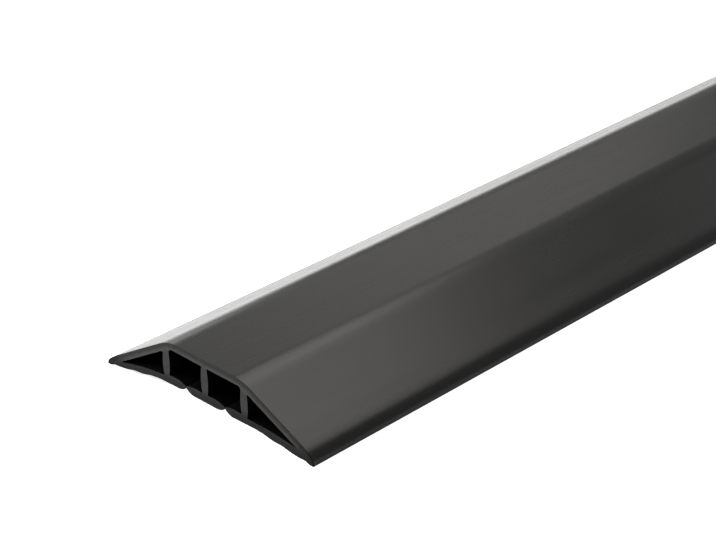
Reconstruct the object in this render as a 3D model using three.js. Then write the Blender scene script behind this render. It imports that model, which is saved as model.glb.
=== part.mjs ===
// Floor cord cover: one length of soft black PVC, extruded in a single piece.
// It lies on the floor on two narrow side feet, with the base between them arched clear.
// Four channels run right through it between three upright webs, and cords are pressed
// into the middle two through a slit in the base of each.
// Millimetres. X runs along the cover, Y across it, and Z is up from the floor.
import * as THREE from "three";

// The whole length, and its outer skin: a flat tread, a ramp down each side with a rounded
// shoulder above it, and a soft rounded edge at the foot of the ramp. The tread lies HEIGHT
// above the floor in its middle, and leans to the near side.
const LENGTH = 1524;
const WIDTH = 76.2;
const HEIGHT = 15.1;
const TREAD_WIDTH = 27.2;
const TREAD_LEAN = 0.9;
const SHOULDER_RADIUS = 14;
const NEAR_EDGE_HEIGHT = 2.5;
const FAR_EDGE_HEIGHT = 1.6;
const EDGE_ROUND_WIDTH = 4.5;
const EDGE_FLAT = 0.6;
const TREAD_WALL = 2;
const RAMP_WALL = 2;

// The foot under each edge, the slope behind it and the level strip that follows.
const FOOT_WIDTH = 1.3;
const FOOT_CORNER_RADIUS = 0.25;
const FOOT_DEPTH = 0.65;
const FOOT_SLOPE_WIDTH = 1.6;
const STRIP_WIDTH = 2.1;

// The arched base: level in the middle, and lightly rippled where it runs down to the edges.
const ARCH_WIDTH = 36;
const ARCH_RISE = 2.9;
const ARCH_CORNER_RADIUS = 20;
const RIPPLE_HEIGHT = 0.14;
const RIPPLE_PITCH = 7.5;

// Webs: upright and barrel-shaped, one in the middle and one under each shoulder.
const WEB_SPACING = 14.3;
const WEB_END_THICKNESS = 1.8;
const WEB_WAIST_THICKNESS = 2.6;

// The middle channels' floor is two flaps, crowned on top, that thin down to a slit.
const FLAP_WALL = 2.35;
const FLAP_CROWN = 0.45;
const FLAP_DROP = 0.4;
const LIP_THICKNESS = 0.8;
const NOSE_WIDTH = 2.8;
const NOSE_BULGE = 0.3;
const SLIT_GAP = 0.3;

// The side channels: long triangles with a bowed floor, closed all round.
const SIDE_FLOOR_WALL = 1.85;
const SIDE_FLOOR_BULGE = 0.5;
const SIDE_TIP_RADIUS = 0.15;
const EDGE_STRIP = 5.2;

// Rounding in the corners of all the channels, fuller in the one under each shoulder.
const CHANNEL_RADIUS = 0.4;
const HAUNCH_RADIUS = 1;

// How finely arcs and bowed sides are drawn, and the ripples, which need more.
const CURVE_STEPS = 8;
const RIPPLE_STEPS = 32;

const halfWidth = WIDTH / 2;
const footInner = halfWidth - FOOT_WIDTH;
const stripOuter = footInner - FOOT_SLOPE_WIDTH;
const stripInner = stripOuter - STRIP_WIDTH;
const webBow = (WEB_WAIST_THICKNESS - WEB_END_THICKNESS) / 2;
const slitAcross = WEB_SPACING / 2;
const shoulder = TREAD_WIDTH / 2;

// A point of the section: how far across from the middle line, and how high.
function at(across, high) {
  return new THREE.Vector2(across, high);
}

// A side that stands off the straight line between its ends by the given bulge at its middle.
function bowedSide(from, to, bulge) {
  const corner = from.clone().add(to).multiplyScalar(0.5).addScaledVector(bulge, 2);
  return new THREE.QuadraticBezierCurve(from, corner, to);
}

// A straight side with ripples across it, which fade out towards its ends.
class RippledSide extends THREE.LineCurve {
  getPoint(t, target = new THREE.Vector2()) {
    super.getPoint(t, target);
    const ripples = this.v1.distanceTo(this.v2) / RIPPLE_PITCH;
    target.y -= RIPPLE_HEIGHT * Math.sin(Math.PI * t) * Math.sin(2 * Math.PI * ripples * t);
    return target;
  }
}

// One side of an outline as a curve, from where the side before it ended, and how many
// steps it is drawn in. It is straight, or rippled, or bowed, or sweeps inside a corner.
function sideCurve(from, side) {
  if (side.rippled) {
    return { curve: new RippledSide(from, side.to), steps: RIPPLE_STEPS };
  }
  if (side.bulge) {
    return { curve: bowedSide(from, side.to, side.bulge), steps: CURVE_STEPS };
  }
  if (side.around) {
    return { curve: new THREE.QuadraticBezierCurve(from, side.around, side.to), steps: CURVE_STEPS };
  }
  return { curve: new THREE.LineCurve(from, side.to), steps: 1 };
}

// The arc that rounds the corner between two curves. Its reach is the length that it takes
// from each of them, which is never more than the room there.
function cornerArc(curve, next, radius, room) {
  const corner = curve.getPoint(1);
  const back = curve.getTangentAt(1).negate();
  const on = next.getTangentAt(0);
  const halfAngle = back.angleTo(on) / 2;
  const reach = Math.min(radius / Math.tan(halfAngle), room);
  const toCentre = back.clone().add(on).normalize();
  const centre = corner.clone().addScaledVector(toCentre, reach / Math.cos(halfAngle));
  const start = corner.clone().addScaledVector(back, reach).sub(centre);
  const end = corner.clone().addScaledVector(on, reach).sub(centre);
  const turn = start.angleTo(end) * Math.sign(start.cross(end));
  const points = [];
  for (let i = 0; i <= CURVE_STEPS; i++) {
    points.push(start.clone().rotateAround(at(0, 0), (turn * i) / CURVE_STEPS).add(centre));
  }
  return { reach, points };
}

// The points of an outline from start through its sides, each rounded at its end by its own
// radius. The two corners of a side share its length in proportion to their radii.
function trace(start, sides) {
  const curves = sides.map((side, i) => sideCurve(i ? sides[i - 1].to : start, side));
  const radii = sides.map((side) => side.radius ?? 0);
  const points = [start];
  let taken = 0;
  curves.forEach(({ curve, steps }, i) => {
    const length = curve.getLength();
    let corner = { reach: 0, points: [sides[i].to] };
    if (radii[i] > 0) {
      const next = curves[i + 1].curve;
      const room = (length * radii[i]) / (radii[i] + (radii[i - 1] ?? 0));
      const nextRoom = (next.getLength() * radii[i]) / (radii[i] + (radii[i + 1] ?? 0));
      corner = cornerArc(curve, next, radii[i], Math.min(room, nextRoom));
    }
    const first = taken / length;
    const last = 1 - corner.reach / length;
    for (let k = 1; k < steps; k++) {
      points.push(curve.getPointAt(first + ((last - first) * k) / steps));
    }
    points.push(...corner.points);
    taken = corner.reach;
  });
  return points;
}

// How steeply the ramp falls on the side whose edge has this height.
function rampFall(edgeHeight) {
  return (HEIGHT - edgeHeight) / (halfWidth - shoulder);
}

// A point of that ramp, at a place across it.
function rampPoint(edgeHeight, across) {
  return at(across, HEIGHT - rampFall(edgeHeight) * (across - shoulder));
}

// The outside of one half, from the middle of the tread round the edge and the foot.
function outerSides(edgeHeight) {
  return [
    { to: at(shoulder, HEIGHT), radius: SHOULDER_RADIUS },
    { to: rampPoint(edgeHeight, halfWidth - EDGE_ROUND_WIDTH) },
    { to: at(halfWidth, EDGE_FLAT), around: at(halfWidth, edgeHeight) },
    { to: at(halfWidth, 0), radius: FOOT_CORNER_RADIUS },
    { to: at(footInner, 0) },
    { to: at(stripOuter, FOOT_DEPTH) },
    { to: at(stripInner, FOOT_DEPTH) },
    { to: at(ARCH_WIDTH / 2, ARCH_RISE), radius: ARCH_CORNER_RADIUS, rippled: true },
  ];
}

// The middle channel of one half, entered and left by its slit: over the outer flap, up the
// outer web, along under the tread, down the middle web and back over the inner flap.
function slitChannelSides() {
  const floor = ARCH_RISE + FLAP_WALL;
  const roof = HEIGHT - TREAD_WALL;
  const lipTop = floor - FLAP_DROP;
  const lipBottom = lipTop - LIP_THICKNESS;
  const outerLip = slitAcross + SLIT_GAP / 2;
  const innerLip = slitAcross - SLIT_GAP / 2;
  const outerWeb = WEB_SPACING - WEB_END_THICKNESS / 2;
  const innerWeb = WEB_END_THICKNESS / 2;
  return [
    { to: at(outerLip + NOSE_WIDTH, ARCH_RISE) },
    { to: at(outerLip, lipBottom), bulge: at(0, -NOSE_BULGE) },
    { to: at(outerLip, lipTop) },
    { to: at(outerWeb, floor), bulge: at(0, FLAP_CROWN), radius: CHANNEL_RADIUS },
    { to: at(outerWeb, roof), bulge: at(-webBow, 0), radius: HAUNCH_RADIUS },
    { to: at(innerWeb, roof), radius: CHANNEL_RADIUS },
    { to: at(innerWeb, floor), bulge: at(webBow, 0), radius: CHANNEL_RADIUS },
    { to: at(innerLip, lipTop), bulge: at(0, FLAP_CROWN) },
    { to: at(innerLip, lipBottom) },
    { to: at(innerLip - NOSE_WIDTH, ARCH_RISE), bulge: at(0, -NOSE_BULGE) },
  ];
}

// A point of the side channel's roof, which runs parallel to the ramp above it.
function sideRoof(edgeHeight, across) {
  const wallUpright = RAMP_WALL * Math.hypot(1, rampFall(edgeHeight));
  return rampPoint(edgeHeight, across).sub(at(0, wallUpright));
}

// The side channel of one half: from the middle of its roof up to the outer web, down the
// web, out over the floor to the tip, and back.
function sideChannel(edgeHeight) {
  const floor = ARCH_RISE + SIDE_FLOOR_WALL;
  const web = WEB_SPACING + WEB_END_THICKNESS / 2;
  const tip = halfWidth - EDGE_STRIP;
  const start = sideRoof(edgeHeight, (web + tip) / 2);
  return trace(start, [
    { to: sideRoof(edgeHeight, web), radius: CHANNEL_RADIUS },
    { to: at(web, floor), bulge: at(webBow, 0), radius: CHANNEL_RADIUS },
    { to: sideRoof(edgeHeight, tip), bulge: at(0, SIDE_FLOOR_BULGE), radius: SIDE_TIP_RADIUS },
    { to: start },
  ]).slice(1);
}

// One half of the outline, from the middle of the tread to the middle of the base.
function halfOutline(edgeHeight) {
  return trace(at(0, HEIGHT), [...outerSides(edgeHeight), ...slitChannelSides()]);
}

// The same points on the other side of the middle line, in the other order.
function mirrored(points) {
  return points.map((point) => at(-point.x, point.y)).reverse();
}

// A point of the section moved up or down with the lean, which is full at the shoulders and
// fades out down the ramps, so that both feet stay on the floor.
function leant(point) {
  const across = Math.abs(point.x);
  const fade = Math.max((footInner - across) / (footInner - shoulder), 0);
  const share = Math.min(across / shoulder, fade) * Math.sign(point.x);
  return at(point.x, point.y + (share * TREAD_LEAN) / 2);
}

// The whole section. Its two halves differ in the height of their edges and in the lean.
function section() {
  const far = halfOutline(FAR_EDGE_HEIGHT);
  const near = halfOutline(NEAR_EDGE_HEIGHT).slice(1);
  const shape = new THREE.Shape([...far, ...mirrored(near)].map(leant));
  const sideChannels = [sideChannel(FAR_EDGE_HEIGHT), mirrored(sideChannel(NEAR_EDGE_HEIGHT))];
  sideChannels.forEach((channel) => shape.holes.push(new THREE.Path(channel.map(leant))));
  return shape;
}

const softPvc = new THREE.MeshStandardMaterial({
  color: 0x2a2a29,
  roughness: 0.42,
  metalness: 0,
});

// The section is drawn in a flat plane and extruded. A third of a turn about the diagonal
// then takes its width to Y, its height to Z and its length to X.
const coverGeometry = new THREE.ExtrudeGeometry(section(), {
  depth: LENGTH,
  bevelEnabled: false,
});
const cover = new THREE.Mesh(coverGeometry, softPvc);
cover.name = "cord_cover";
cover.quaternion.setFromAxisAngle(new THREE.Vector3(1, 1, 1).normalize(), (2 * Math.PI) / 3);
cover.position.x = -LENGTH / 2;

const part = new THREE.Group();
part.add(cover);

export default part;
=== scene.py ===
import math

import bpy
from mathutils import Matrix, Vector


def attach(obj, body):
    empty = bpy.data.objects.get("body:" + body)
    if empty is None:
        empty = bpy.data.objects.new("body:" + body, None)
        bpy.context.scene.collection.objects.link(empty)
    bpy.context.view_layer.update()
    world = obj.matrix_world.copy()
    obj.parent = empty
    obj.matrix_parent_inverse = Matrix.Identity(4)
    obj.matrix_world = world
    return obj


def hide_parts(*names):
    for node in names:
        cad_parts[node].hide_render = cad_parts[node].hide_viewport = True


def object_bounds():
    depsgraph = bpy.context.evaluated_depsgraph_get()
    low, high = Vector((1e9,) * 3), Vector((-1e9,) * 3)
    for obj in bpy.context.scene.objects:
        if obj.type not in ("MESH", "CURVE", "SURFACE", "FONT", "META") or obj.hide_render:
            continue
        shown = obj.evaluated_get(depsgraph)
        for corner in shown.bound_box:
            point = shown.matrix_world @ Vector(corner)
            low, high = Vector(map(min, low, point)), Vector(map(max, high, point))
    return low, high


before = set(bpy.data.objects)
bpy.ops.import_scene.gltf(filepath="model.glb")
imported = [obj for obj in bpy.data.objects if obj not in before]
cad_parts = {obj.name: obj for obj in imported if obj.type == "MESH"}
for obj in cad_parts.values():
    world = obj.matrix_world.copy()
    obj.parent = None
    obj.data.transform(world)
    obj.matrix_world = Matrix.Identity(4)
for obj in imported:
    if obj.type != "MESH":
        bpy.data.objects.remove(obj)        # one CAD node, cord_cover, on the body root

cad_low, cad_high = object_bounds()

# Camera
# The photograph looks down on the sawn end and away along the cover, through a long lens.
# The view is hung from the near edge's tip, where the end of the cover meets the floor.
image_width, image_height = 716, 540
focal_length_px = 2085
tip_x_px, tip_y_px = 313.5, 467.7
tip_depth = 0.5006
azimuth, elevation, roll = math.radians(44.03), math.radians(26.55), math.radians(-0.73)
sensor_width_mm = 36

forward = Vector((math.cos(elevation) * math.cos(azimuth),
                  math.cos(elevation) * math.sin(azimuth),
                  -math.sin(elevation)))
level = Vector((math.sin(azimuth), -math.cos(azimuth), 0))
rise = level.cross(forward)
right = math.cos(roll) * level + math.sin(roll) * rise
up = math.cos(roll) * rise - math.sin(roll) * level
tip_ray = (forward
           + right * (tip_x_px - image_width / 2) / focal_length_px
           - up * (tip_y_px - image_height / 2) / focal_length_px)

bpy.ops.object.camera_add()
camera = bpy.context.object
camera.name = "camera"
camera.matrix_world = (Matrix.Translation(cad_low - tip_depth * tip_ray)
                       @ Matrix((right, up, -forward)).transposed().to_4x4())
camera.data.sensor_width = sensor_width_mm
camera.data.lens = sensor_width_mm * focal_length_px / image_width
bpy.context.scene.camera = camera


# Cover
# One length of flexible black PVC, run through a die and sawn square to length. The die
# leaves a satin skin with faint lines along it, and the saw a matt face at each end, with
# its outer arris rubbed round. The sawn faces and the arris carry painted shade, and the
# inside of the channels is painted darker and dull, as painted shade.
skin_slot, sawn_slot, channel_slot = 0, 1, 2
arris_radius = 0.0002
arris_steps = 4
smooth_below = math.radians(28)
one_plane_within = math.radians(0.05)
one_point_within = 1e-6
hair = 0.00001
square_to_length = 0.99

bpy.ops.object.select_all(action="DESELECT")
cover = bpy.data.objects.new("cover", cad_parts["cord_cover"].data.copy())
bpy.context.scene.collection.objects.link(cover)
cover.select_set(True)
bpy.context.view_layer.objects.active = cover
cover.data.materials.clear()
for name in ("satin_pvc_skin", "sawn_pvc_painted_shade", "channel_pvc_painted_shade"):
    cover.data.materials.append(bpy.data.materials.new(name))

# The body's doubles are merged, and each flat face is made one face again.
bpy.ops.object.mode_set(mode="EDIT")
bpy.ops.mesh.select_all(action="SELECT")
bpy.ops.mesh.remove_doubles(threshold=one_point_within)
bpy.ops.mesh.dissolve_limited(angle_limit=one_plane_within)
bpy.ops.mesh.select_all(action="DESELECT")
bpy.ops.mesh.select_mode(type="FACE")
bpy.ops.object.mode_set(mode="OBJECT")

# A face along the cover is a channel's where it looks across at another one. Channel
# faces get a darker, dull colour as painted shade.
for face in cover.data.polygons:
    if abs(face.normal.x) > square_to_length:
        face.material_index = sawn_slot
    elif cover.ray_cast(face.center + hair * face.normal, face.normal)[0]:
        face.material_index = channel_slot
    else:
        face.material_index = skin_slot
    face.select = face.material_index == skin_slot

# The arris round the outside of each end is rubbed round, and has the saw's matt finish,
# with its painted shade dark along the outside.
bpy.ops.object.mode_set(mode="EDIT")
bpy.ops.mesh.region_to_loop()
bpy.ops.object.mode_set(mode="OBJECT")
points = cover.data.vertices
for edge in cover.data.edges:
    at_end = all(abs(points[i].co.x) > cad_high.x - hair for i in edge.vertices)
    edge.select = edge.select and at_end
bpy.ops.object.mode_set(mode="EDIT")
bpy.ops.mesh.bevel(offset=arris_radius, segments=arris_steps, clamp_overlap=False,
                   loop_slide=False)
bpy.ops.object.mode_set(mode="OBJECT")
for face in cover.data.polygons:
    if hair < abs(face.normal.x) < square_to_length:
        face.material_index = sawn_slot

bpy.ops.object.shade_smooth_by_angle(angle=smooth_below)
bpy.ops.object.modifier_add(type="WEIGHTED_NORMAL")
cover.modifiers[-1].keep_sharp = True
bpy.ops.object.modifier_apply(modifier=cover.modifiers[-1].name)

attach(cover, "root")
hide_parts("cord_cover")


def tree_of(material):
    """The material's nodes, their links and its own shader."""
    material.use_nodes = True
    nodes, links = material.node_tree.nodes, material.node_tree.links
    return nodes, links, nodes["Principled BSDF"]


def math_on(nodes, links, operation, *values):
    """A Math node on two or three values, each a number or another node's output."""
    node = nodes.new("ShaderNodeMath")
    node.operation = operation
    for socket, value in zip(node.inputs, values):
        if isinstance(value, (int, float)):
            socket.default_value = value
        else:
            links.new(value, socket)
    return node.outputs[0]


def spread(nodes, links, value, low, high, start=0.0, stop=1.0):
    """A value that runs from start to stop, made to run from low to high."""
    node = nodes.new("ShaderNodeMapRange")
    for socket, at in (("From Min", start), ("From Max", stop), ("To Min", low), ("To Max", high)):
        node.inputs[socket].default_value = at
    links.new(value, node.inputs["Value"])
    return node.outputs["Result"]


def ramp_of(nodes, links, value, stops):
    """A value turned into a colour, by pairs of a place from 0 to 1 and the colour there."""
    ramp = nodes.new("ShaderNodeValToRGB")
    elements = ramp.color_ramp.elements
    while len(elements) < len(stops):
        elements.new(0.5)
    for element, (at, color) in zip(elements, stops):
        element.position = at
        element.color = (*color, 1)
    links.new(value, ramp.inputs["Fac"])
    return ramp.outputs["Color"]


def marks_group(name, stretch, detail):
    """A node group that puts out marks from 0 to 1, drawn out along X by stretch."""
    group = bpy.data.node_groups.new(name, "ShaderNodeTree")
    for socket, way in (("Marks per metre", "INPUT"), ("Marks", "OUTPUT")):
        group.interface.new_socket(socket, in_out=way, socket_type="NodeSocketFloat")
    enter = group.nodes.new("NodeGroupInput")
    leave = group.nodes.new("NodeGroupOutput")
    coordinates = group.nodes.new("ShaderNodeTexCoord")
    mapping = group.nodes.new("ShaderNodeMapping")
    mapping.inputs["Scale"].default_value = (1 / stretch, 1, 1)
    noise = group.nodes.new("ShaderNodeTexNoise")
    noise.inputs["Detail"].default_value = detail
    group.links.new(coordinates.outputs["Object"], mapping.inputs["Vector"])
    group.links.new(mapping.outputs["Vector"], noise.inputs["Vector"])
    group.links.new(enter.outputs["Marks per metre"], noise.inputs["Scale"])
    group.links.new(noise.outputs["Fac"], leave.inputs["Marks"])
    return group


def marks(nodes, group, per_metre):
    """A group of marks, placed in a material with its own density."""
    node = nodes.new("ShaderNodeGroup")
    node.node_tree = group
    node.inputs["Marks per metre"].default_value = per_metre
    return node.outputs["Marks"]


def bump(nodes, links, height, depth, shader):
    """Relief on a surface, from a value from 0 to 1 and its depth in metres."""
    node = nodes.new("ShaderNodeBump")
    node.inputs["Distance"].default_value = depth
    links.new(height, node.inputs["Height"])
    links.new(node.outputs["Normal"], shader.inputs["Normal"])


# The marks in the finishes: the die's lines along the cover, the cloudiness that soft PVC
# has all over its skin, and a fine grain.
die_lines = marks_group("die_lines", stretch=2000, detail=2)
clouds = marks_group("clouds", stretch=2.5, detail=2)
grain = marks_group("grain", stretch=1, detail=3)


def satin_skin(material):
    """Black PVC as the die leaves it: satin, a little warm, with lines along it."""
    lines_per_metre, clouds_per_metre, grains_per_metre = 150, 60, 2500
    deep_black, worn_black = (0.0042, 0.0041, 0.0038), (0.0066, 0.0064, 0.0060)
    line_shade = 0.5
    smoothest, roughest = 0.23, 0.31
    grain_share = 0.15
    relief_depth = 0.00001

    nodes, links, shader = tree_of(material)
    shader.inputs["IOR"].default_value = 1.35
    lines = marks(nodes, die_lines, lines_per_metre)
    cloud = marks(nodes, clouds, clouds_per_metre)
    streaks = spread(nodes, links, lines, -line_shade, line_shade)
    both = math_on(nodes, links, "ADD", streaks, cloud)
    tint = ramp_of(nodes, links, both, ((0, deep_black), (1, worn_black)))
    links.new(tint, shader.inputs["Base Color"])
    links.new(spread(nodes, links, both, smoothest, roughest), shader.inputs["Roughness"])
    fine = spread(nodes, links, marks(nodes, grain, grains_per_metre), 0, grain_share)
    bump(nodes, links, math_on(nodes, links, "ADD", lines, fine), relief_depth, shader)


def sawn_face_with_painted_shade(material):
    """The saw's matt face, with painted shade: dark along the outside of the walls, where the
    arris is rubbed round, and towards the floor side of the base. It is also darker towards
    both tips, and palest in a strip over the channels."""
    looks_up = 0.8
    walls_meet_over = 0.002
    arch_rise, arch_half_width = 0.0029, 0.018
    strip_height, strip_inner = 0.00065, 0.0331
    tips_start, tips_end, tip_shade = 0.030, 0.037, 0.5
    pale_grey = (0.084, 0.082, 0.0797, 1)
    smear_per_metre, mottle_per_metre, saw_marks_per_metre = 1500, 900, 2500
    smear = 0.0003
    mottle_dark, mottle_pale = 0.75, 1.25
    saw_mark_depth = 0.00004
    # Pairs of a depth in the wall, from its outside or from the floor side, and the shade
    # there. A colour ramp takes neither over 1, so both are divided by these two values.
    reach, palest = 0.004, 2
    # Painted shade: darkest at the outside of the walls and the rubbed-round arris, palest in a
    # strip further in.
    outside_painted_shade = ((0.0, 0.62), (0.0008, 0.68), (0.00115, 1.05),
                    (0.0015, 1.45), (0.0019, 1.3), (0.0026, 1.0))
    # Painted shade: darkest at the floor side of the base, where it lies on the floor.
    floor_side_painted_shade = ((0.0, 0.22), (0.0007, 0.28), (0.0015, 0.36),
                       (0.0024, 0.52), (0.0036, 0.92))

    nodes, links, shader = tree_of(material)
    shader.inputs["Roughness"].default_value = 0.85
    shader.inputs["Specular IOR Level"].default_value = 0.1
    place = nodes.new("ShaderNodeTexCoord").outputs["Object"]

    # The outside is the tread's and the ramps' planes, the three largest faces that look up.
    faces = sorted(cover.data.polygons, key=lambda face: face.area)
    depths = []
    for face in [face for face in faces if face.normal.z > looks_up][-3:]:
        under = nodes.new("ShaderNodeVectorMath")
        under.operation = "SUBTRACT"
        under.inputs[0].default_value = face.center
        links.new(place, under.inputs[1])
        depth = nodes.new("ShaderNodeVectorMath")
        depth.operation = "DOT_PRODUCT"
        depth.inputs[1].default_value = face.normal
        links.new(under.outputs["Vector"], depth.inputs[0])
        depths.append(depth.outputs["Value"])
    inward = math_on(nodes, links, "SMOOTH_MIN", depths[0], depths[1], walls_meet_over)
    inward = math_on(nodes, links, "SMOOTH_MIN", inward, depths[2], walls_meet_over)

    # The floor side is the arched base, which falls away to a strip along each edge.
    parts = nodes.new("ShaderNodeSeparateXYZ")
    links.new(place, parts.inputs[0])
    across = math_on(nodes, links, "ABSOLUTE", parts.outputs["Y"])
    base = spread(nodes, links, across, arch_rise, strip_height, arch_half_width, strip_inner)
    above = math_on(nodes, links, "SUBTRACT", parts.outputs["Z"], base)

    ragged = spread(nodes, links, marks(nodes, grain, smear_per_metre), -smear, smear)
    shade = spread(nodes, links, across, 1, tip_shade, tips_start, tips_end)
    for distance, pairs in ((inward, outside_painted_shade), (above, floor_side_painted_shade)):
        rough = math_on(nodes, links, "ADD", distance, ragged)
        share = math_on(nodes, links, "DIVIDE", rough, reach)
        stops = [(at / reach, (value / palest,) * 3) for at, value in pairs]
        shade = math_on(nodes, links, "MULTIPLY", shade, ramp_of(nodes, links, share, stops))
    mottle = marks(nodes, grain, mottle_per_metre)
    mottle = spread(nodes, links, mottle, mottle_dark, mottle_pale)
    shade = math_on(nodes, links, "MULTIPLY", shade, mottle)
    tint = nodes.new("ShaderNodeMix")
    tint.data_type = "RGBA"
    tint.inputs["A"].default_value = (0, 0, 0, 1)
    tint.inputs["B"].default_value = pale_grey
    links.new(shade, tint.inputs["Factor"])
    links.new(tint.outputs["Result"], shader.inputs["Base Color"])
    bump(nodes, links, marks(nodes, grain, saw_marks_per_metre), saw_mark_depth, shader)


def channel_painted_shade(material):
    """The inside of the channels, black and dull: painted darker than the skin, as painted shade.
    """
    lines_per_metre = 200
    line_depth = 0.00002
    deep_black, pale_black = (0.0010, 0.0010, 0.0010), (0.0026, 0.0026, 0.0025)

    nodes, links, shader = tree_of(material)
    shader.inputs["Specular IOR Level"].default_value = 0.0
    shader.inputs["Roughness"].default_value = 1.0
    lines = marks(nodes, die_lines, lines_per_metre)
    tint = ramp_of(nodes, links, lines, ((0, deep_black), (1, pale_black)))
    links.new(tint, shader.inputs["Base Color"])
    bump(nodes, links, lines, line_depth, shader)


satin_skin(cover.data.materials[skin_slot])
sawn_face_with_painted_shade(cover.data.materials[sawn_slot])
channel_painted_shade(cover.data.materials[channel_slot])


# Floor
# A pale matt floor, which the cover lies on. It glows a little for the camera alone, so it
# shows plain white.
floor_size = 60
floor_gap = 0.00002
floor_white = (0.86, 0.86, 0.86, 1)
floor_glow = 0.7

bpy.ops.object.select_all(action="DESELECT")
bpy.ops.mesh.primitive_plane_add(size=floor_size, location=(0, 0, cad_low.z - floor_gap))
floor = bpy.context.object
floor.name = "floor"
floor_finish = bpy.data.materials.new("pale_floor")
nodes, links, shader = tree_of(floor_finish)
shader.inputs["Base Color"].default_value = floor_white
shader.inputs["Roughness"].default_value = 1.0
shader.inputs["Specular IOR Level"].default_value = 0.0
shader.inputs["Emission Strength"].default_value = floor_glow
sight = nodes.new("ShaderNodeLightPath")
links.new(sight.outputs["Is Camera Ray"], shader.inputs["Emission Color"])
floor.data.materials.append(floor_finish)


# Studio light
# Softboxes stand where the satin skin mirrors them: for the near ramp and its far part, the
# near shoulder and the tread, and two low ones behind for the far ramp and the far shoulder.
# One hangs in front of the sawn end. Their places are taken from the middle of that end.
end = Vector((cad_low.x, 0, 0))
along = end + Vector((0.1, 0, 0))
behind = end + Vector((0.2, 0.12, 0))
plain, warm = (1, 1, 1), (1, 0.975, 0.925)
room_light = 0.42


def softbox(name, from_end, target, size, watts, tint=plain):
    """A rectangular area light at a place, turned to a target, in metres."""
    place = end + Vector(from_end)
    bpy.ops.object.light_add(type="AREA", location=place)
    light = bpy.context.object
    light.name = name
    light.data.shape = "RECTANGLE"
    light.data.size, light.data.size_y = size
    light.data.energy = watts
    light.data.color = tint
    light.rotation_euler = (target - place).to_track_quat("-Z", "Y").to_euler()


softbox("ramp_softbox", (0.54, 0, 0.85), along, size=(0.6, 0.4), watts=2.65, tint=warm)
softbox("far_ramp_softbox", (1.44, -0.08, 0.85), along, size=(0.4, 0.4), watts=0.27)
softbox("shoulder_softbox", (0.59, 0.35, 0.7), end, size=(0.25, 0.16), watts=0.47, tint=warm)
softbox("tread_softbox", (1.44, 1.19, 0.975), end, size=(0.65, 0.45), watts=0.83, tint=warm)
softbox("overhead_softbox", (-0.4, -0.1, 0.9), end, size=(0.5, 0.5), watts=2.7)
softbox("back_softbox", (-0.35, 0.85, 0.4), behind, size=(0.9, 0.25), watts=32)
softbox("far_shoulder_softbox", (0.2, 0.9, 0.35), behind, size=(1.0, 0.25), watts=2.2)

world = bpy.data.worlds.new("studio")
world.use_nodes = True
background = world.node_tree.nodes["Background"]
background.inputs["Color"].default_value = (*plain, 1)
background.inputs["Strength"].default_value = room_light
bpy.context.scene.world = world
bpy.context.scene.view_settings.view_transform = "Standard"
